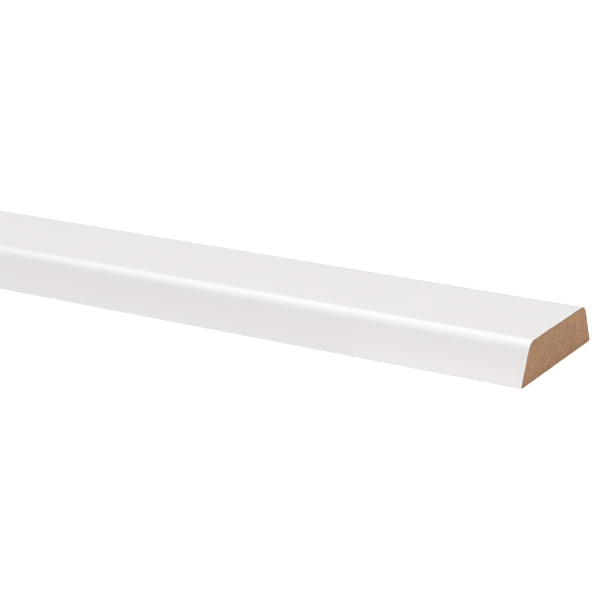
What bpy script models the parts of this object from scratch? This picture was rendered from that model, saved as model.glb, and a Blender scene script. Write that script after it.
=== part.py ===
"""A length of plain bevelled moulding, MDF with a white finish, lying on its back.

The section is a low trapezium. The wide back goes against the wall or ceiling, both sides lean in
at the same slope, and the arrises between the face and the sides are rounded over. The moulding
runs along X and is cut square at both ends. Y is its width and Z its thickness, with the back at
Z = 0 and the origin in the middle of the back. All lengths are in metres.

The corners of the section are worked out sharp and then rounded. A rounded back corner falls a
little short of the sharp one, so the sharp corners stand further apart than the finished width.
"""

import math

import bmesh
import bpy
from mathutils import Vector

# Driving dimensions
LENGTH = 0.220  # between the two square cuts
WIDTH = 0.048  # over both back edges, where the moulding is widest
THICKNESS = 0.012  # from the back to the face
SIDE_LEAN = 0.0051  # how far each side comes in between the back and the face
FACE_ARRIS_RADIUS = 0.0040  # the round between the face and each side
BACK_ARRIS_RADIUS = 0.00025  # the sharpness knocked off the two back edges

# How closely the rounds are followed: the most that a chord may cut inside its arc
CHORD_TOLERANCE = 0.000004

# How near two points of the drawn section are when they are one point
WELD_DISTANCE = 0.000001

# Two faces that meet at less than this are shaded as one smooth surface
SMOOTH_ANGLE = math.radians(20)

# How nearly a face must look along an axis to count as an end or the back
SQUARE_ON = 0.99

# Colours are linear red, green, blue and alpha
WHITE_FINISH_COLOUR = (0.80, 0.79, 0.79, 1.0)
WHITE_FINISH_ROUGHNESS = 0.3
BARE_MDF_COLOUR = (0.40, 0.24, 0.15, 1.0)
BARE_MDF_ROUGHNESS = 0.8


def clear_scene():
    for obj in list(bpy.data.objects):
        bpy.data.objects.remove(obj, do_unlink=True)


def make_material(name, colour, roughness):
    """A Principled material, not a metal, of one colour."""
    material = bpy.data.materials.new(name)
    material.use_nodes = True
    material.diffuse_color = colour
    shader = material.node_tree.nodes["Principled BSDF"]
    shader.inputs["Base Color"].default_value = colour
    shader.inputs["Roughness"].default_value = roughness
    shader.inputs["Metallic"].default_value = 0.0
    return material


def round_corner(before, corner, after, radius):
    """The points of an arc that touches both edges at a corner, in the order of the outline."""
    arriving = (corner - before).normalized()
    leaving = (after - corner).normalized()
    turn = arriving.angle(leaving)
    tangent = radius * math.tan(turn / 2)
    start = corner - arriving * tangent
    inward = Vector((-arriving.y, arriving.x))
    centre = start + inward * radius
    chord_turn = 2 * math.acos(1 - min(CHORD_TOLERANCE / radius, 1))
    steps = max(1, math.ceil(turn / chord_turn))
    points = []
    for step in range(steps + 1):
        angle = turn * step / steps
        outward = arriving * math.sin(angle) - inward * math.cos(angle)
        points.append(centre + outward * radius)
    return points


def section_outline():
    """The section's outline, anticlockwise, as (across, up) from the middle of the back."""
    back_turn = math.radians(90) + math.atan2(SIDE_LEAN, THICKNESS)
    lost_in_round = BACK_ARRIS_RADIUS * (math.tan(back_turn / 2) - 1)
    half_back = WIDTH / 2 + lost_in_round
    half_face = half_back - SIDE_LEAN
    corners = [
        (Vector((-half_back, 0)), BACK_ARRIS_RADIUS),
        (Vector((half_back, 0)), BACK_ARRIS_RADIUS),
        (Vector((half_face, THICKNESS)), FACE_ARRIS_RADIUS),
        (Vector((-half_face, THICKNESS)), FACE_ARRIS_RADIUS),
    ]
    outline = []
    for index, (corner, radius) in enumerate(corners):
        before = corners[index - 1][0]
        after = corners[(index + 1) % len(corners)][0]
        outline.extend(round_corner(before, corner, after, radius))
    return outline


def extruded_section(name, outline, length):
    """A mesh of the outline drawn out to a length, half of it each side of the outline's plane."""
    curve = bpy.data.curves.new(name + "_section", "CURVE")
    curve.dimensions = "2D"
    curve.fill_mode = "BOTH"
    curve.extrude = length / 2
    spline = curve.splines.new("POLY")
    spline.points.add(len(outline) - 1)
    for point, (across, up) in zip(spline.points, outline):
        point.co = (across, up, 0, 1)
    spline.use_cyclic_u = True

    drawn = bpy.data.objects.new(name + "_drawn", curve)
    bpy.context.scene.collection.objects.link(drawn)
    bpy.context.view_layer.update()
    graph = bpy.context.evaluated_depsgraph_get()
    mesh = bpy.data.meshes.new_from_object(drawn.evaluated_get(graph))
    mesh.name = name
    bpy.data.objects.remove(drawn, do_unlink=True)
    bpy.data.curves.remove(curve)
    return mesh


def weld(mesh):
    """Joins the loose caps of an extruded curve to its sides, with every face looking out."""
    work = bmesh.new()
    work.from_mesh(mesh)
    bmesh.ops.remove_doubles(work, verts=work.verts, dist=WELD_DISTANCE)
    bmesh.ops.recalc_face_normals(work, faces=work.faces)
    work.to_mesh(mesh)
    work.free()


def paint_moulding(mesh, along, behind):
    """The finish covers the face and the sides, and the ends and the back are left bare."""
    mesh.materials.clear()
    mesh.materials.append(
        make_material("white_finish", WHITE_FINISH_COLOUR, WHITE_FINISH_ROUGHNESS)
    )
    mesh.materials.append(make_material("bare_mdf", BARE_MDF_COLOUR, BARE_MDF_ROUGHNESS))
    for face in mesh.polygons:
        is_end = abs(face.normal.dot(along)) > SQUARE_ON
        is_back = face.normal.dot(behind) > SQUARE_ON
        face.material_index = int(is_end or is_back)


def make_moulding(collection):
    """The moulding, drawn in the plane of its section and then turned to lie along X."""
    mesh = extruded_section("moulding_length", section_outline(), LENGTH)
    weld(mesh)
    paint_moulding(mesh, along=Vector((0, 0, 1)), behind=Vector((0, -1, 0)))
    mesh.shade_smooth()
    mesh.set_sharp_from_angle(angle=SMOOTH_ANGLE)
    moulding = bpy.data.objects.new("moulding_length", mesh)
    collection.objects.link(moulding)
    moulding.location = (0, 0, 0)
    moulding.rotation_euler = (math.radians(90), 0, math.radians(90))
    return moulding


def main():
    clear_scene()
    collection = bpy.data.collections.new("bevelled_moulding")
    bpy.context.scene.collection.children.link(collection)
    make_moulding(collection)


main()
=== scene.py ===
"""Dresses a length of bevelled moulding for its pictures: a sawn MDF board wrapped in a white film.

Everything is in metres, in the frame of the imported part: X along the moulding, Y across it, Z from
its back to its face, with the origin in the middle of the back.
"""

import math

import bmesh
import bpy
import numpy as np
from mathutils import Matrix, Vector


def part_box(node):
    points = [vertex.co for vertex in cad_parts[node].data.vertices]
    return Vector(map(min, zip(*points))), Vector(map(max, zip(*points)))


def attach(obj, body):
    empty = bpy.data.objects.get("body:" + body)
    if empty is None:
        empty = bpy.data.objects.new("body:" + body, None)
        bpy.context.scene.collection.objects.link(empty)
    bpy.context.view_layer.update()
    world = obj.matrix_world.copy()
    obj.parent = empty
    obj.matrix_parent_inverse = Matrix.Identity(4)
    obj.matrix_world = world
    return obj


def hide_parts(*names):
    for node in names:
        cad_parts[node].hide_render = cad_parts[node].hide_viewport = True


bl_info = {
    "name": "Bevelled moulding length",
    "version": (1, 0, 0),
    "blender": (4, 5, 0),
    "location": "3D View > Sidebar > Moulding",
    "description": "Builds the sawn board and the white film of a moulding, and a stage for it",
    "category": "Object",
}

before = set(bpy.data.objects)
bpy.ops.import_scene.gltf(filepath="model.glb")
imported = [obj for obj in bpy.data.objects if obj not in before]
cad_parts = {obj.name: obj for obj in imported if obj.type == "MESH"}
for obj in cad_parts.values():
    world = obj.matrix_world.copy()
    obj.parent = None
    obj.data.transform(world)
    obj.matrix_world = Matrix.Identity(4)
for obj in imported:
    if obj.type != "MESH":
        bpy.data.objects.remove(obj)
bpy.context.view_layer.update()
NODE = "moulding_length"
LOW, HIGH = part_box(NODE)

MM = 0.001

# In how many short steps a round of the section is drawn, which is an even number
BACK_STEPS, FACE_STEPS = 8, 32

# Room between the film and the board under it
GLUE_GAP = 0.004 * MM

# The share of the film's thickness that is left at its feather edge
FEATHER_EDGE = 0.06

# How far in from the film's edge the board comes down to the level of the back
STEP_AT_FILM = 0.03 * MM

# The film's rows of points: how far from a cut the outer ones stand, how many follow on the round
# at the cut, and how many there are from the first of these at one end to that at the other
ROWS_BEFORE_CUT = np.array([9.0, 4.0, 1.6, 0.7, 0.3, 0.12]) * MM
ROWS_ON_ROUND = 5
FILM_ROWS = 40

# The rows of points along the board, and how far the first and last stand from the ends
BOARD_ROWS = 22
ROWS_FROM_END = 0.5 * MM

# The waves of the film's sawn edge, and the power that makes its nicks few and steep
WAVER_LENGTH, NICK_LENGTH = 0.45 * MM, 0.9 * MM
NICK_STEEPNESS = 9

# The grains of a sawn end's relief, across and up
FIBRE_GRAIN = (1.3 * MM, 0.3 * MM)
FUZZ_GRAIN = (0.45 * MM, 0.22 * MM)
BREAK_GRAIN = (0.8 * MM, 0.4 * MM)

# Seeds of the noise at the right end and at the left end
FILM_SEEDS = (11, 23)
BOARD_SEEDS = (31, 47)

# The board's attribute that holds how far a point of a sawn end is from the cut's outline
RIM_DISTANCE = "distance_from_rim"

# The distance between two rings of Blender's wave texture at a scale of 1
WAVE_PERIOD = 2 * math.pi / 20

# Over what distance the teeth's arcs waver, and how deep they are beside the felt's own relief
ARC_WAVER = 2 * MM
ARC_SHARE = 0.3

# The sockets of a Mix node that mixes colours: how much of the second, both colours, the result
SHARE, FIRST, SECOND = 0, 6, 7
MIXED = 2

# The table lies this little below the part, and has a hole in its middle as small as this
TABLE_LEVEL = -0.1 * MM
HOLE_RADIUS = 0.01 * MM

# How many points go round the table and the backdrop, and how many rings each has
STAGE_POINTS = 96
TABLE_RINGS, BACKDROP_RINGS = 12, 24

# Each lamp's name, its middle, the way its back is turned, its size, and the setting of its power.
# The card lies on the table at the foot of the front side, which it lightens towards the right end.
LAMPS = (
    ("overhead panel", (-0.97, 0.0, 2.0), (0, 0, 1), (1.2, 4.0), "overhead_power"),
    ("side softbox", (0.54, -0.09, 0.72), (0.54, -0.09, 0.72), (0.5, 0.5), "side_power"),
    ("bright card", (0.088, -0.0285, 0.0004), (0, 0, -1), (0.06, 0.008), "card_power"),
)


def number(name, description, default, **more):
    """A number that the panel shows."""
    return bpy.props.FloatProperty(name=name, description=description, default=default, **more)


def factor(name, description, default):
    """A share from 0 to 1 that the panel shows."""
    return number(name, description, default, subtype="FACTOR", min=0.0, max=1.0)


def metres(name, description, default):
    """A length in metres that the panel shows in the scene's units."""
    return number(name, description, default, unit="LENGTH", subtype="DISTANCE", precision=5)


def linear(hex_colour):
    """An sRGB hex colour as linear red, green, blue and alpha.

    A part c from 0 to 1 becomes c / 12.92 up to 0.04045, and ((c + 0.055) / 1.055)^2.4 above that.
    """
    parts = np.array([int(hex_colour[i : i + 2], 16) for i in (1, 3, 5)]) / 255
    low = parts / 12.92
    high = ((parts + 0.055) / 1.055) ** 2.4
    return (*np.where(parts <= 0.04045, low, high).tolist(), 1.0)


def colour(name, description, hex_colour):
    """A colour that the panel shows, given as sRGB hex."""
    return bpy.props.FloatVectorProperty(
        name=name,
        description=description,
        default=linear(hex_colour),
        subtype="COLOR",
        size=4,
        min=0.0,
        max=1.0,
    )


class MouldingSection(bpy.types.PropertyGroup):
    """The section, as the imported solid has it, and the film on it."""

    length: metres("Length", "Between the two saw cuts", HIGH.x - LOW.x)
    width: metres("Width", "Over both back edges", HIGH.y - LOW.y)
    thickness: metres("Thickness", "From the back to the face", HIGH.z - LOW.z)
    side_lean: metres("Side lean", "How far each side comes in from back to face", 5.1 * MM)
    face_arris: metres("Face arris", "Radius between the face and a side", 4.0 * MM)
    arris_ease: factor(
        "Arris ease", "From 0, where the face arris is an arc, to 1, where it runs out softly", 0.35
    )
    back_arris: metres("Back arris", "Radius of the film round a back edge", 0.25 * MM)
    film: metres("Film", "Thickness of the white film", 0.16 * MM)
    back_wrap: metres("Back wrap", "How far in from a back edge the film ends", 0.9 * MM)
    feather: metres("Feather", "Over which the film thins out to its edge", 0.5 * MM)
    spacing: metres("Spacing", "Between the points of the new meshes", 0.2 * MM)


class SawCut(bpy.types.PropertyGroup):
    """What the saw left at both ends."""

    softening: metres("Softening", "Round that the blade leaves on the film's skin", 0.06 * MM)
    waver: metres("Waver", "Depth of the fine waver of the film's edge", 0.03 * MM)
    nick: metres("Nick", "Depth of the deepest nicks in that edge", 0.16 * MM)
    fray_reach: metres("Fray reach", "How far from a cut the film's fraying is felt", 1.5 * MM)
    fibre_depth: metres("Fibre depth", "Between the torn fibres of the board", 0.026 * MM)
    fuzz_depth: metres("Fuzz depth", "Of the finer fuzz on them", 0.02 * MM)
    arc_depth: metres("Arc depth", "Of the arcs that the teeth have left", 0.007 * MM)
    pitch: metres("Pitch", "Between two of those arcs", 0.9 * MM)
    axle_across: metres("Axle across", "Where the blade's axle was, across the part", 62 * MM)
    axle_up: metres("Axle up", "Where the blade's axle was, above the back", 88 * MM)
    break_depth: metres("Break depth", "Of the deepest breaks in the back edge", 0.08 * MM)
    break_height: metres("Break height", "Over which those breaks run out", 0.16 * MM)


class FilmFinish(bpy.types.PropertyGroup):
    """The white film's look."""

    white: colour("White", "The film's colour", "#E8E5E4")
    bruised: colour("Bruised white", "Its colour where the saw has strained it", "#EFEDED")
    bruise: metres("Bruise", "How far from a saw cut the strained film shows", 0.6 * MM)
    roughness: factor("Roughness", "How satin the film is", 0.42)
    uneven: factor("Uneven sheen", "How much rougher or smoother the film is in places", 0.02)
    dulling: factor("Dulling", "The film's brightness where handling has dulled it", 0.985)
    cloud: metres("Cloud size", "Between the places that handling has dulled", 22 * MM)
    peel: metres("Peel size", "Between the soft dimples of the film", 1.1 * MM)
    peel_depth: metres("Peel depth", "Depth of those dimples", 0.0012 * MM)


class BoardFinish(bpy.types.PropertyGroup):
    """The bare MDF's look."""

    fibre: colour("Fibre", "The board's main brown", "#AA8160")
    pale: colour("Pale fibre", "The palest fibres", "#C19C7B")
    dark: colour("Dark fibre", "The darkest fibres", "#835E41")
    rim: colour("Rim", "The cut's outline, where glue has soaked in", "#7A5748")
    rim_width: metres("Rim width", "How far in from the cut's outline the rim shows", 0.5 * MM)
    # Painted light and shade on the sawn ends: paler fibre towards the face, darker fibre towards the
    # back
    clean: factor("Painted face light", "Share of pale fibre in a cut close to the face", 0.12)
    painted_back_shade: factor("Painted back shade", "Share of dark fibre in a cut at the back edge", 0.06)
    painted_shade_height: metres("Painted shade height", "How far up from the back the painted shade shows", 2.6 * MM)
    fibre_length: metres("Fibre length", "Along the board's plane", 1.6 * MM)
    fibre_width: metres("Fibre width", "Through the board's thickness", 0.28 * MM)
    patch: metres("Patch size", "Between the clumps of one sort of fibre", 3.5 * MM)
    relief: metres("Relief", "Depth of the felt, which the light picks out", 0.05 * MM)
    roughness: factor("Roughness", "How dull it is", 0.85)


class StageSettings(bpy.types.PropertyGroup):
    """The camera's place and the light."""

    azimuth: number(
        "Azimuth",
        "Where the camera stands, turned from the front towards the right end",
        math.radians(30.79),
        subtype="ANGLE",
    )
    elevation: number(
        "Elevation", "How far the camera looks down", math.radians(17.37), subtype="ANGLE"
    )
    distance: metres("Distance", "From the camera to where it aims", 0.5239)
    aim_from_end: metres("Aim from end", "From the right saw cut back to where it aims", 0.07168)
    aim_from_front: metres("Aim from front", "From the front back edge to where it aims", 0.00562)
    lens: number("Lens", "Focal length in millimetres", 110.16, subtype="DISTANCE_CAMERA")
    overhead_power: number(
        "Overhead power", "Of the long panel over the part, in watts", 61.4, subtype="POWER"
    )
    side_power: number(
        "Side power", "Of the softbox high on the right, in watts", 2.7, subtype="POWER"
    )
    card_power: number(
        "Card power", "Of the bright card on the table, in watts", 0.00042, subtype="POWER"
    )
    sky: number("Sky", "Brightness of the light from all round", 0.19)
    floor_radius: metres("Floor", "Radius of the table and of the backdrop", 2.2)
    near_glow: number("Near glow", "The table's own light at the part's foot", 0.625)
    table_glow: number("Table glow", "The table's own light round the part", 0.39)
    far_glow: number("Far glow", "What the table adds far off, where the lamps give less", 1.0)
    glow_overhang: metres("Glow overhang", "How far past both ends the near glow is full", 10 * MM)
    glow_reach: metres("Glow reach", "How far the near glow then takes to fall off", 20 * MM)


def add_node(tree, kind, settings=None, inputs=None):
    """A node with its own settings, and each input either linked to an output or set to a value."""
    node = tree.nodes.new(kind)
    for name, value in (settings or {}).items():
        setattr(node, name, value)
    for key, value in (inputs or {}).items():
        if isinstance(value, bpy.types.NodeSocket):
            tree.links.new(value, node.inputs[key])
        else:
            node.inputs[key].default_value = value
    return node


def new_material(name):
    """A material with nothing in it but its output and a Principled shader, and its tree."""
    material = bpy.data.materials.new(name)
    material.use_nodes = True
    tree = material.node_tree
    return material, tree, tree.nodes["Principled BSDF"]


def sharp_corners(section):
    """Half the distance between the sharp back corners, and between the sharp face corners.

    The rounds are cut inside these corners. The back ones stand out past the finished width by
    what their round takes off, which is radius * (tan(turn / 2) - 1).
    """
    turn = math.pi / 2 + math.atan2(section.side_lean, section.thickness)
    half_back = section.width / 2 + section.back_arris * (math.tan(turn / 2) - 1)
    return half_back, half_back - section.side_lean


def rounded_corner(turn, radius, ease, steps):
    """A round that turns right, from the origin, arriving along its first axis: places and angles.

    At t from 0 to 1 it has turned by turn * (t - ease * sin(2 pi t) / 2 pi), so an ease of 0 gives
    an arc and 1 a curve that bends most in its middle. Its places add up the short steps that it
    takes at those angles. It cuts as much off the sharp corner as the arc of that radius does,
    which is radius * (1 / cos(turn / 2) - 1).
    """
    t = (np.arange(steps) + 0.5) / steps
    at_middle = turn * (t - ease * np.sin(2 * math.pi * t) / (2 * math.pi))
    path = np.cumsum(np.stack([np.cos(at_middle), -np.sin(at_middle)], axis=1), axis=0)
    path = np.concatenate([np.zeros((1, 2)), path])
    to_corner = np.linalg.norm(path[-1]) / (2 * math.cos(turn / 2))
    left_over = np.linalg.norm(np.array([to_corner, 0]) - path[steps // 2])
    scale = radius * (1 / math.cos(turn / 2) - 1) / left_over
    t = np.arange(steps + 1) / steps
    angle = turn * (t - ease * np.sin(2 * math.pi * t) / (2 * math.pi))
    return path * scale, angle, to_corner * scale


def rounded_path(points, corners, spacing):
    """A path through sharp points with its inner corners rounded, and the normals on its left.

    A straight run is start + (end - start) * t. corners holds each round's radius, ease and number
    of steps.
    """
    ways = np.diff(points, axis=0)
    ways /= np.linalg.norm(ways, axis=1, keepdims=True)
    lefts = np.stack([-ways[:, 1], ways[:, 0]], axis=1)
    places, normals = [], []
    start = points[0]
    for way, left, onward, corner, rounding in zip(ways, lefts, ways[1:], points[1:], corners):
        turn = math.acos(way @ onward)
        curve, angle, to_corner = rounded_corner(turn, *rounding)
        touch = corner - way * to_corner
        steps = max(1, math.ceil(np.linalg.norm(touch - start) / spacing))
        t = np.arange(steps)[:, None] / steps
        ahead, aside = curve[:-1, :1], curve[:-1, 1:]
        places += [start + (touch - start) * t, touch + ahead * way + aside * left]
        normals += [
            np.tile(left, (steps, 1)),
            np.sin(angle[:-1, None]) * way + np.cos(angle[:-1, None]) * left,
        ]
        start = corner + onward * to_corner
    steps = max(1, math.ceil(np.linalg.norm(points[-1] - start) / spacing))
    t = np.arange(steps + 1)[:, None] / steps
    places.append(start + (points[-1] - start) * t)
    normals.append(np.tile(lefts[-1], (steps + 1, 1)))
    return np.concatenate(places), np.concatenate(normals)


def arris_rounds(section):
    """The radius, ease and steps of a back edge's round, and of the round beside the face."""
    back = (section.back_arris, 0.0, BACK_STEPS)
    face = (section.face_arris, section.arris_ease, FACE_STEPS)
    return back, face


def lattice_noise(across, up, grain, seed):
    """Smooth noise from 0 to 1 over places across and up, with grains of a size across and up.

    Each point of a lattice, a grain apart, has a random height, and between them the height goes
    by 3t^2 - 2t^3.
    """
    across, up = np.broadcast_arrays(across / grain[0], up / grain[1])
    across, up = across - across.min(), up - up.min()
    column, row = across.astype(int), up.astype(int)
    heights = np.random.default_rng(seed).random((column.max() + 2, row.max() + 2))
    rightward, upward = (t * t * (3 - 2 * t) for t in (across - column, up - row))
    below = heights[column, row] * (1 - rightward) + heights[column + 1, row] * rightward
    row = row + 1
    above = heights[column, row] * (1 - rightward) + heights[column + 1, row] * rightward
    return below * (1 - upward) + above * upward


def closed_mesh(name, points, quads, material_index=None):
    """An object at the origin with these points and four-cornered faces, all facing out."""
    mesh = bpy.data.meshes.new(name)
    mesh.vertices.add(len(points))
    mesh.vertices.foreach_set("co", points.astype(np.float32).ravel())
    mesh.loops.add(quads.size)
    mesh.loops.foreach_set("vertex_index", quads.astype(np.int32).ravel())
    mesh.polygons.add(len(quads))
    mesh.polygons.foreach_set("loop_start", np.arange(0, quads.size, 4, dtype=np.int32))
    if material_index is not None:
        mesh.polygons.foreach_set("material_index", material_index.astype(np.int32))
    mesh.update(calc_edges=True)
    if mesh.validate():
        raise RuntimeError(f"{name} has faces that had to be mended")
    work = bmesh.new()
    work.from_mesh(mesh)
    bmesh.ops.recalc_face_normals(work, faces=work.faces)
    work.to_mesh(mesh)
    work.free()
    return add_object(name, mesh)


def add_object(name, data):
    """An object at the origin, in the scene."""
    added = bpy.data.objects.new(name, data)
    bpy.context.scene.collection.objects.link(added)
    return added


def ring_quads(rings):
    """Faces between rows of point numbers, each row a closed ring."""
    onward = np.roll(rings, -1, axis=1)
    return np.stack([rings[:-1], onward[:-1], onward[1:], rings[1:]], axis=-1).reshape(-1, 4)


def grid_quads(rows):
    """Faces between rows of point numbers that don't close on themselves."""
    corners = [rows[:-1, :-1], rows[:-1, 1:], rows[1:, 1:], rows[1:, :-1]]
    return np.stack(corners, axis=-1).reshape(-1, 4)


def film_thickness(section, points):
    """How thick the film is at points of its outer line.

    It is the full thickness but under the back, where it thins out evenly to a feather edge.
    """
    from_edge = np.abs(points[:, 0]) - (section.width / 2 - section.back_wrap)
    thinned = np.clip(from_edge / section.feather, FEATHER_EDGE, 1)
    return section.film * np.where(points[:, 1] < section.film, thinned, 1)


def film_outline(section):
    """The film's outer line, from its turned-under edge over side, face and side to the other."""
    half_back, half_face = sharp_corners(section)
    under = section.width / 2 - section.back_wrap
    corners = np.array(
        [
            (-under, 0),
            (-half_back, 0),
            (-half_face, section.thickness),
            (half_face, section.thickness),
            (half_back, 0),
            (under, 0),
        ]
    )
    back, face = arris_rounds(section)
    return rounded_path(corners, (back, face, face, back), section.spacing)


def film_rows(section, saw):
    """Where the film's rows of points stand along X, and how far its skin has gone in there.

    Close to a cut the skin turns in on a small round of radius r, at distance r * (1 - sin t) from
    the cut and r * (1 - cos t) below the skin. A row just before it keeps the film flat.
    """
    turn = np.linspace(0, math.pi / 2, ROWS_ON_ROUND)
    from_cut = np.concatenate([ROWS_BEFORE_CUT, saw.softening * (1 - np.sin(turn))])
    skin = np.concatenate([np.zeros(len(ROWS_BEFORE_CUT)), saw.softening * (1 - np.cos(turn))])
    middle = np.linspace(-1, 1, FILM_ROWS)[1:-1] * (section.length / 2 - ROWS_BEFORE_CUT[0])
    right = section.length / 2 - from_cut
    along = np.concatenate([-right[::-1], middle, right])
    skin = np.concatenate([skin[::-1], np.zeros(len(middle)), skin])
    return along, skin


def fraying(girth, saw, seed):
    """How far back the saw has frayed the film at each place round it.

    It is a fine waver, waver * noise, and a few steep nicks, nick * noise^steepness.
    """
    level = np.zeros_like(girth)
    waver = lattice_noise(girth, level, (WAVER_LENGTH, MM), seed)
    nicks = lattice_noise(girth, level, (NICK_LENGTH, MM), seed + 1)
    return saw.waver * waver + saw.nick * nicks**NICK_STEEPNESS


def film_mesh(section, saw):
    """The film as one thin closed shell: its section carried along X, ragged where it was sawn.

    A point near a cut moves back by its fraying * (1 - distance from the cut / reach)^2.
    """
    outline, normals = film_outline(section)
    along, skin = film_rows(section, saw)
    steps = np.linalg.norm(np.diff(outline, axis=0), axis=1)
    girth = np.concatenate([[0], np.cumsum(steps)])
    outer = outline[None] - skin[:, None, None] * normals[None]
    thickness = film_thickness(section, outline)
    inner = np.broadcast_to(outline - thickness[:, None] * normals, outer.shape)
    loop = np.concatenate([outer, inner[:, ::-1]], axis=1)
    from_cut = section.length / 2 - np.abs(along)
    nearness = np.clip(1 - from_cut / saw.fray_reach, 0, 1) ** 2
    right, left = (fraying(girth, saw, seed) for seed in FILM_SEEDS)
    frayed = np.where(along[:, None] > 0, right[None], -left[None])
    frayed = np.concatenate([frayed, frayed[:, ::-1]], axis=1) * nearness[:, None]
    x = along[:, None] - frayed
    points = np.concatenate([x[..., None], loop], axis=-1).reshape(-1, 3)
    rings = np.arange(len(points)).reshape(len(along), -1)
    caps = [
        grid_quads(np.stack([ring[: len(outline)], ring[: len(outline) - 1 : -1]]))
        for ring in rings[[0, -1]]
    ]
    return closed_mesh("white_film", points, np.concatenate([ring_quads(rings), *caps]))


def board_side(section):
    """The board's right side, face to back, as (across, up), under the film and down to its back.

    It starts where the flat of the face ends, because the grid over an end spans that flat.
    """
    half_back, half_face = sharp_corners(section)
    under = section.width / 2 - section.back_wrap
    corners = np.array(
        [(0, section.thickness), (half_face, section.thickness), (half_back, 0), (under, 0)]
    )
    back, face = arris_rounds(section)
    outline, normals = rounded_path(corners, (face, back), section.spacing)
    depth = film_thickness(section, outline) + GLUE_GAP
    first = np.flatnonzero(np.isclose(normals[:, 1], 1))[-1]
    side = (outline - depth[:, None] * normals)[first:]
    return np.concatenate([side, [(under - STEP_AT_FILM, 0)]])


def sawn_depth(saw, across, up, seed):
    """How far a sawn end lies below its plane: torn fibres, arcs of the teeth, a broken back edge.

    The arcs are rings round the saw's axle, at distance r from it, with depth by sin(2 pi r / pitch).
    The breaks are noise^2, less with the height above the back by e^(-height / break height).
    """
    fibres = lattice_noise(across, up, FIBRE_GRAIN, seed)
    fuzz = lattice_noise(across, up, FUZZ_GRAIN, seed + 1)
    from_axle = np.hypot(across - saw.axle_across, up - saw.axle_up)
    arcs = 0.5 + 0.5 * np.sin(2 * math.pi * from_axle / saw.pitch)
    near_back = np.exp(-(up - up.min()) / saw.break_height)
    breaks = near_back * lattice_noise(across, up, BREAK_GRAIN, seed + 2) ** 2
    return (
        saw.fibre_depth * fibres
        + saw.fuzz_depth * fuzz
        + saw.arc_depth * arcs
        + saw.break_depth * breaks
    )


def distance_from_rim(section, side, across, up):
    """How far points of a sawn end are from the film: the least from the side, back and face.

    A sloping side is as far as it is on the level, times thickness / its own length.
    """
    slope = section.thickness / math.hypot(section.thickness, section.side_lean)
    from_side = (side[:, :1] - np.abs(across)) * slope
    return np.minimum.reduce([from_side, up - up.min(), up.max() - up])


def board_mesh(section, saw):
    """The board: a grid over each sawn end, and its outline carried along X between them.

    A point of an end is (half width at that height * u, height), with u from -1 to 1, and keeps its
    distance from the rim as an attribute.
    """
    side = board_side(section)
    u = np.linspace(-1, 1, 2 * math.ceil(side[:, 0].max() / section.spacing) + 1)
    across = side[:, :1] * u
    up = np.broadcast_to(side[:, 1:], across.shape)
    half = section.length / 2
    ends = [
        np.stack([way * (half - sawn_depth(saw, across, up, seed)), across, up], axis=-1)
        for way, seed in zip((1, -1), BOARD_SEEDS)
    ]
    numbers = np.arange(across.size).reshape(across.shape)
    rim = np.concatenate(
        [numbers[0, :-1], numbers[:-1, -1], numbers[-1, :0:-1], numbers[:0:-1, 0]]
    )
    along = np.linspace(1, -1, BOARD_ROWS) * (half - ROWS_FROM_END)
    rim_points = np.stack([across.ravel()[rim], up.ravel()[rim]], axis=-1)
    between = np.concatenate(
        [np.repeat(along, len(rim))[:, None], np.tile(rim_points, (len(along), 1))], axis=-1
    )
    points = np.concatenate([*(end.reshape(-1, 3) for end in ends), between])
    inner_rings = 2 * across.size + np.arange(len(between)).reshape(len(along), -1)
    rings = np.concatenate([rim[None], inner_rings, rim[None] + across.size])
    end_quads = grid_quads(numbers)
    quads = np.concatenate([end_quads, end_quads + across.size, ring_quads(rings)])
    is_wall = np.arange(len(quads)) >= 2 * len(end_quads)
    piece = closed_mesh("mdf_board", points, quads, is_wall)
    from_rim = distance_from_rim(section, side, across, up).ravel()
    from_rim = np.concatenate([from_rim, from_rim, np.zeros(len(between))])
    layer = piece.data.attributes.new(RIM_DISTANCE, "FLOAT", "POINT")
    layer.data.foreach_set("value", from_rim.astype(np.float32))
    return piece


def shade(piece, crease):
    """Smooth shading, kept sharp where two faces meet at more than the crease angle, in degrees."""
    piece.data.shade_smooth()
    piece.data.set_sharp_from_angle(angle=math.radians(crease))


def fade(tree, first, second, value, span, share=1.0, curve="SMOOTHSTEP"):
    """One colour that turns to a second, up to a share of it, as a value goes over a span."""
    amount = add_node(
        tree,
        "ShaderNodeMapRange",
        {"interpolation_type": curve},
        {"Value": value, "From Min": span[0], "From Max": span[1], "To Max": share},
    ).outputs["Result"]
    return add_node(
        tree,
        "ShaderNodeMix",
        {"data_type": "RGBA"},
        {SHARE: amount, FIRST: first, SECOND: second},
    ).outputs[MIXED]


def add_bump(tree, shader, height, depth):
    """Gives the shader a relief of that depth, where the height goes from 0 to 1."""
    bump = add_node(
        tree, "ShaderNodeBump", inputs={"Height": height, "Distance": depth, "Strength": 1.0}
    )
    tree.links.new(bump.outputs["Normal"], shader.inputs["Normal"])


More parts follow.
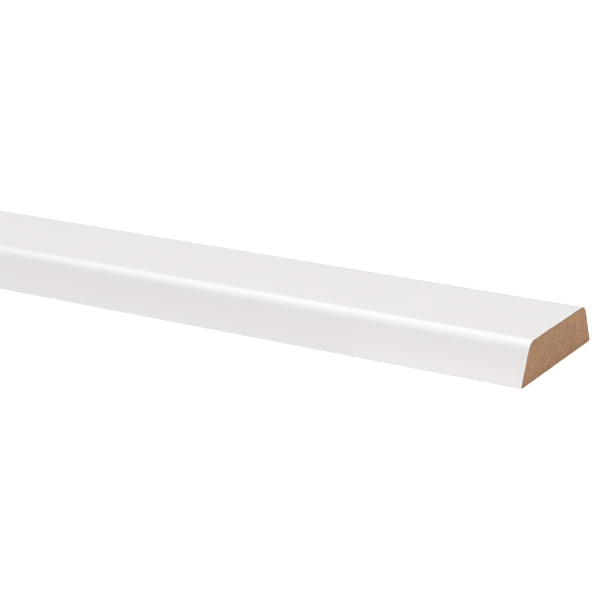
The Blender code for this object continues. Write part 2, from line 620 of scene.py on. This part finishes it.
def film_material(finish, section):
    """Polypropylene finishing foil, calendered smooth and pressed onto the board by rollers.

    It is an opaque, slightly warm white with a satin sheen. The board under it shows as very
    shallow dimples, and handling leaves the sheen a little uneven. Close to a saw cut the blade has
    strained the foil, which turns it a purer white there.
    """
    material, tree, shader = new_material("white polypropylene foil")
    place = add_node(tree, "ShaderNodeTexCoord").outputs["Object"]
    cloud = add_node(
        tree,
        "ShaderNodeTexNoise",
        inputs={"Vector": place, "Scale": 1 / finish.cloud, "Detail": 3.0},
    ).outputs["Fac"]
    dulled = [part * finish.dulling for part in finish.white[:3]] + [1.0]
    tint = add_node(
        tree,
        "ShaderNodeMix",
        {"data_type": "RGBA"},
        {SHARE: cloud, FIRST: dulled, SECOND: finish.white},
    ).outputs[MIXED]
    along = add_node(tree, "ShaderNodeSeparateXYZ", inputs={"Vector": place}).outputs["X"]
    from_middle = add_node(tree, "ShaderNodeMath", {"operation": "ABSOLUTE"}, {0: along}).outputs[0]
    strained = (section.length / 2 - finish.bruise, section.length / 2 - finish.bruise / 3)
    surface = fade(tree, tint, finish.bruised, from_middle, strained)
    sheen = add_node(
        tree,
        "ShaderNodeMapRange",
        inputs={
            "Value": cloud,
            "To Min": finish.roughness - finish.uneven,
            "To Max": finish.roughness + finish.uneven,
        },
    )
    peel = add_node(
        tree,
        "ShaderNodeTexNoise",
        inputs={"Vector": place, "Scale": 1 / finish.peel, "Detail": 2.0},
    )
    tree.links.new(surface, shader.inputs["Base Color"])
    tree.links.new(sheen.outputs["Result"], shader.inputs["Roughness"])
    add_bump(tree, shader, peel.outputs["Fac"], finish.peel_depth)
    # A little above polypropylene's 1.49, for the clear coat on it
    shader.inputs["IOR"].default_value = 1.55
    return material


def fibre_felt(tree, finish, place, fleck, contrast):
    """The colour and the height of a felt of fibres, of flecks of a size along X, Y and Z.

    The noise turns fully dark or pale where it is as far from its mean as the contrast. A real
    fibre is 1 to 3 mm long and about 0.03 mm thick, too fine to show, so the flecks are drawn
    several times as thick as fibres are.
    """
    scaled = add_node(
        tree,
        "ShaderNodeMapping",
        {"vector_type": "POINT"},
        {"Vector": place, "Scale": [1 / size for size in fleck]},
    )
    fibres = add_node(
        tree,
        "ShaderNodeTexNoise",
        inputs={
            "Vector": scaled.outputs["Vector"],
            "Scale": 1.0,
            "Detail": 4.0,
            "Roughness": 0.62,
            "Distortion": 0.35,
        },
    )
    tone = add_node(
        tree,
        "ShaderNodeMapRange",
        inputs={
            "Value": fibres.outputs["Fac"],
            "From Min": 0.5 - contrast,
            "From Max": 0.5 + contrast,
        },
    )
    felt = add_node(tree, "ShaderNodeValToRGB", inputs={"Fac": tone.outputs["Result"]})
    felt.color_ramp.elements[0].color = finish.dark
    felt.color_ramp.elements[1].color = finish.pale
    middle = felt.color_ramp.elements.new(0.5)
    middle.color = finish.fibre
    return felt.outputs["Color"], fibres.outputs["Fac"]


def fibre_patches(tree, finish, place, felt):
    """The felt's colour times a patchy one, whose mean is 1, of clumps with more of some fibre."""
    noise = add_node(
        tree,
        "ShaderNodeTexNoise",
        inputs={"Vector": place, "Scale": 1 / finish.patch, "Detail": 2.0},
    )
    # Mostly grey, so that the clumps differ less in hue than in tone
    patches = add_node(
        tree,
        "ShaderNodeMix",
        {"data_type": "RGBA"},
        {SHARE: 0.4, FIRST: noise.outputs["Fac"], SECOND: noise.outputs["Color"]},
    ).outputs[MIXED]
    # In red, green and blue
    strength = np.array([0.5, 0.7, 0.9])
    mottle = add_node(
        tree,
        "ShaderNodeVectorMath",
        {"operation": "MULTIPLY_ADD"},
        {0: patches, 1: strength, 2: 1 - strength / 2},
    )
    return add_node(
        tree,
        "ShaderNodeVectorMath",
        {"operation": "MULTIPLY"},
        {0: felt, 1: mottle.outputs["Vector"]},
    ).outputs["Vector"]


def set_fibre_surface(tree, shader, finish, surface, relief):
    """Bare fibre: its colour, a felt's relief, and next to no gloss."""
    tree.links.new(surface, shader.inputs["Base Color"])
    add_bump(tree, shader, relief, finish.relief)
    shader.inputs["Roughness"].default_value = finish.roughness
    shader.inputs["Specular IOR Level"].default_value = 0.3


def sanded_mdf_material(finish):
    """Medium-density fibreboard, wood fibre and resin pressed flat, with its back sanded.

    Sanding cuts through the felt along the board's plane, so it shows as soft flecks, longer along
    the moulding than across it.
    """
    material, tree, shader = new_material("sanded MDF")
    place = add_node(tree, "ShaderNodeTexCoord").outputs["Object"]
    fleck = (1.4 * MM, 0.5 * MM, 1.0 * MM)
    felt, relief = fibre_felt(tree, finish, place, fleck, contrast=0.4)
    surface = fibre_patches(tree, finish, place, felt)
    set_fibre_surface(tree, shader, finish, surface, relief)
    return material


def sawn_mdf_material(finish, section, saw):
    """Medium-density fibreboard, wood fibre and resin pressed flat, sawn across.

    Its fibres lie flat in the board, so the cut shows them as short level streaks. Its colour has
    painted light and shade: paler towards the face and darker towards the back. It shows the arcs
    of the teeth, and glue has soaked into its outline.
    """
    material, tree, shader = new_material("sawn MDF")
    place = add_node(tree, "ShaderNodeTexCoord").outputs["Object"]
    fleck = (1.0 * MM, finish.fibre_length, finish.fibre_width)
    felt, relief = fibre_felt(tree, finish, place, fleck, contrast=0.2)
    height = add_node(tree, "ShaderNodeSeparateXYZ", inputs={"Vector": place}).outputs["Z"]
    # Painted light and shade: the cut turns towards pale fibre in its upper half and towards dark
    # fibre near the back
    upper_half = (section.thickness / 2, section.thickness)
    clean = fade(tree, felt, finish.pale, height, upper_half, finish.clean)
    painted_back_shade = fade(tree, clean, finish.dark, height, (finish.painted_shade_height, 0.0), finish.painted_back_shade)
    patched = fibre_patches(tree, finish, place, painted_back_shade)
    from_rim = add_node(tree, "ShaderNodeAttribute", {"attribute_name": RIM_DISTANCE})
    surface = fade(
        tree,
        patched,
        finish.rim,
        from_rim.outputs["Fac"],
        (finish.rim_width, 0.0),
        share=0.8,
        curve="LINEAR",
    )
    centred = add_node(
        tree,
        "ShaderNodeMapping",
        inputs={"Vector": place, "Location": (0, -saw.axle_across, -saw.axle_up)},
    )
    ring_scale = WAVE_PERIOD / saw.pitch
    arcs = add_node(
        tree,
        "ShaderNodeTexWave",
        {"wave_type": "RINGS", "rings_direction": "X"},
        {
            "Vector": centred.outputs["Vector"],
            "Scale": ring_scale,
            "Distortion": 0.6,
            "Detail": 1.0,
            "Detail Scale": 1 / (ARC_WAVER * ring_scale),
        },
    )
    relief = add_node(
        tree,
        "ShaderNodeMath",
        {"operation": "MULTIPLY_ADD"},
        {0: arcs.outputs["Fac"], 1: ARC_SHARE, 2: relief},
    ).outputs[0]
    set_fibre_surface(tree, shader, finish, surface, relief)
    return material


def table_material(stage, section):
    """A matt white acrylic table, lit from below, more so where the part lies and far from it.

    The first fills the shadow at the part's foot, and falls off with the distance from the part,
    which is the length of max(|place| - half size, 0). The second makes up for the lamps, which
    light the middle of the table best.
    """
    material, tree, shader = new_material("lit white acrylic table")
    shader.inputs["Base Color"].default_value = linear("#E6E6E6")
    shader.inputs["Roughness"].default_value = 1.0
    shader.inputs["Specular IOR Level"].default_value = 0.0
    shader.inputs["Emission Color"].default_value = linear("#FFFFFF")
    place = add_node(tree, "ShaderNodeTexCoord").outputs["Object"]
    half_size = (section.length / 2 + stage.glow_overhang, section.width / 2, MM)
    gap = place
    for operation, inputs in (
        ("ABSOLUTE", {}),
        ("SUBTRACT", {1: half_size}),
        ("MAXIMUM", {1: (0, 0, 0)}),
        ("LENGTH", {}),
    ):
        node = add_node(
            tree, "ShaderNodeVectorMath", {"operation": operation}, {0: gap, **inputs}
        )
        gap = node.outputs["Value" if operation == "LENGTH" else "Vector"]
    near = add_node(
        tree,
        "ShaderNodeMapRange",
        {"interpolation_type": "SMOOTHSTEP"},
        {
            "Value": gap,
            "From Max": stage.glow_reach,
            "To Min": stage.near_glow,
            "To Max": stage.table_glow,
        },
    )
    far = add_node(
        tree,
        "ShaderNodeMapRange",
        {"interpolation_type": "SMOOTHSTEP"},
        {
            "Value": gap,
            "From Min": 0.1 * stage.floor_radius,
            "From Max": 0.6 * stage.floor_radius,
            "To Max": stage.far_glow,
        },
    )
    both = add_node(
        tree,
        "ShaderNodeMath",
        {"operation": "ADD"},
        {0: near.outputs["Result"], 1: far.outputs["Result"]},
    )
    tree.links.new(both.outputs[0], shader.inputs["Emission Strength"])
    return material


def backdrop_material():
    """White seamless paper, far off and fully lit, which only the camera sees."""
    material, tree, shader = new_material("white seamless paper")
    shader.inputs["Base Color"].default_value = linear("#000000")
    shader.inputs["Specular IOR Level"].default_value = 0.0
    shader.inputs["Emission Color"].default_value = linear("#FFFFFF")
    shader.inputs["Emission Strength"].default_value = 1.0
    return material


class MOULDING_OT_add_board(bpy.types.Operator):
    """Add the MDF board with its sawn ends, in place of the plain solid"""

    bl_idname = "moulding.add_board"
    bl_label = "Add board"

    def execute(self, context):
        section, saw = context.scene.moulding_section, context.scene.moulding_saw
        finish = context.scene.moulding_board
        piece = board_mesh(section, saw)
        shade(piece, crease=40)
        piece.data.materials.append(sawn_mdf_material(finish, section, saw))
        piece.data.materials.append(sanded_mdf_material(finish))
        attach(piece, "root")
        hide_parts(NODE)
        return {"FINISHED"}


class MOULDING_OT_add_film(bpy.types.Operator):
    """Add the white film over the face and the sides, turned under the back"""

    bl_idname = "moulding.add_film"
    bl_label = "Add film"

    def execute(self, context):
        section, saw = context.scene.moulding_section, context.scene.moulding_saw
        piece = film_mesh(section, saw)
        shade(piece, crease=50)
        piece.data.materials.append(film_material(context.scene.moulding_film, section))
        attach(piece, "root")
        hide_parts(NODE)
        return {"FINISHED"}


def add_camera(stage, section):
    """A camera that aims near the front arris of the face, on the level of the face."""
    aim = Vector(
        (
            section.length / 2 - stage.aim_from_end,
            stage.aim_from_front - section.width / 2,
            section.thickness,
        )
    )
    back = Vector(
        (
            math.sin(stage.azimuth) * math.cos(stage.elevation),
            -math.cos(stage.azimuth) * math.cos(stage.elevation),
            math.sin(stage.elevation),
        )
    )
    data = bpy.data.cameras.new("camera")
    data.lens = stage.lens
    data.sensor_width = 36.0
    data.clip_start = 0.01
    data.clip_end = 50.0
    camera = add_object("camera", data)
    camera.location = aim + back * stage.distance
    camera.rotation_mode = "QUATERNION"
    camera.rotation_quaternion = (-back).to_track_quat("-Z", "Y")
    bpy.context.scene.camera = camera


def add_lamp(name, middle, back, size, power):
    """A flat light that the camera doesn't see, with its second side across the part."""
    data = bpy.data.lights.new(name, "AREA")
    data.shape = "RECTANGLE"
    data.size, data.size_y = size
    data.energy = power
    lamp = add_object(name, data)
    back = Vector(back).normalized()
    across = (Vector((0, 1, 0)) - back * back.y).normalized()
    turned = Matrix((across.cross(back), across, back)).transposed()
    lamp.location = middle
    lamp.rotation_mode = "QUATERNION"
    lamp.rotation_quaternion = turned.to_quaternion()
    lamp.visible_camera = False


def surface_of_revolution(name, radius, height, material):
    """A profile of radii and heights carried round Z: (r cos a, r sin a, height)."""
    turn = np.linspace(0, 2 * math.pi, STAGE_POINTS, endpoint=False)
    points = np.stack(
        [
            radius[:, None] * np.cos(turn),
            radius[:, None] * np.sin(turn),
            np.broadcast_to(height[:, None], (len(radius), len(turn))),
        ],
        axis=-1,
    ).reshape(-1, 3)
    rings = np.arange(len(points)).reshape(len(radius), -1)
    mesh = bpy.data.meshes.new(name)
    mesh.from_pydata(points.tolist(), [], ring_quads(rings).tolist())
    mesh.materials.append(material)
    return add_object(name, mesh)


def table_profile(radius):
    """Flat and all but closed in the middle, with its rings closest together there."""
    steps = np.linspace(0, 1, TABLE_RINGS) ** 3
    return HOLE_RADIUS + steps * radius, np.full(len(steps), TABLE_LEVEL)


def backdrop_profile(radius):
    """A quarter circle from the table's rim up to all but over its middle: (r cos b, r sin b)."""
    rise = np.linspace(0, 0.998 * math.pi / 2, BACKDROP_RINGS)
    return radius * np.cos(rise), radius * np.sin(rise) + TABLE_LEVEL


def set_world(scene, strength):
    """Even white light from all round."""
    world = bpy.data.worlds.new("white studio")
    world.use_nodes = True
    background = world.node_tree.nodes["Background"]
    background.inputs["Color"].default_value = linear("#FFFFFF")
    background.inputs["Strength"].default_value = strength
    scene.world = world


class MOULDING_OT_set_stage(bpy.types.Operator):
    """Set the camera, the table and the studio light"""

    bl_idname = "moulding.set_stage"
    bl_label = "Set stage"

    def execute(self, context):
        scene = context.scene
        stage, section = scene.moulding_stage, scene.moulding_section
        add_camera(stage, section)
        for name, middle, back, size, setting in LAMPS:
            add_lamp(name, middle, back, size, getattr(stage, setting))
        table = surface_of_revolution(
            "table", *table_profile(stage.floor_radius), table_material(stage, section)
        )
        backdrop = surface_of_revolution(
            "backdrop", *backdrop_profile(stage.floor_radius), backdrop_material()
        )
        backdrop.visible_diffuse = False
        backdrop.visible_glossy = False
        backdrop.visible_shadow = False
        set_world(scene, stage.sky)
        scene.view_settings.view_transform = "Standard"
        return {"FINISHED"}


class MOULDING_PT_panel(bpy.types.Panel):
    """Lists the moulding's steps and sizes"""

    bl_idname = "MOULDING_PT_panel"
    bl_label = "Moulding"
    bl_space_type = "VIEW_3D"
    bl_region_type = "UI"
    bl_category = "Moulding"

    def draw(self, context):
        for group, operator in STEPS:
            settings = getattr(context.scene, group)
            box = self.layout.box()
            for name in settings.__annotations__:
                box.prop(settings, name)
            if operator:
                box.operator(operator)


GROUPS = {
    "moulding_section": MouldingSection,
    "moulding_saw": SawCut,
    "moulding_board": BoardFinish,
    "moulding_film": FilmFinish,
    "moulding_stage": StageSettings,
}
STEPS = (
    ("moulding_section", None),
    ("moulding_saw", None),
    ("moulding_board", MOULDING_OT_add_board.bl_idname),
    ("moulding_film", MOULDING_OT_add_film.bl_idname),
    ("moulding_stage", MOULDING_OT_set_stage.bl_idname),
)
CLASSES = (
    *GROUPS.values(),
    MOULDING_OT_add_board,
    MOULDING_OT_add_film,
    MOULDING_OT_set_stage,
    MOULDING_PT_panel,
)


def register():
    """Registers every class, and gives each scene its settings."""
    for item in CLASSES:
        bpy.utils.register_class(item)
    for name, group in GROUPS.items():
        setattr(bpy.types.Scene, name, bpy.props.PointerProperty(type=group))


def unregister():
    """Takes back what register did."""
    for name in GROUPS:
        delattr(bpy.types.Scene, name)
    for item in reversed(CLASSES):
        bpy.utils.unregister_class(item)


def main():
    """Builds the pieces and the stage."""
    register()
    bpy.ops.moulding.add_board()
    bpy.ops.moulding.add_film()
    bpy.ops.moulding.set_stage()


if __name__ == "__main__":
    main()
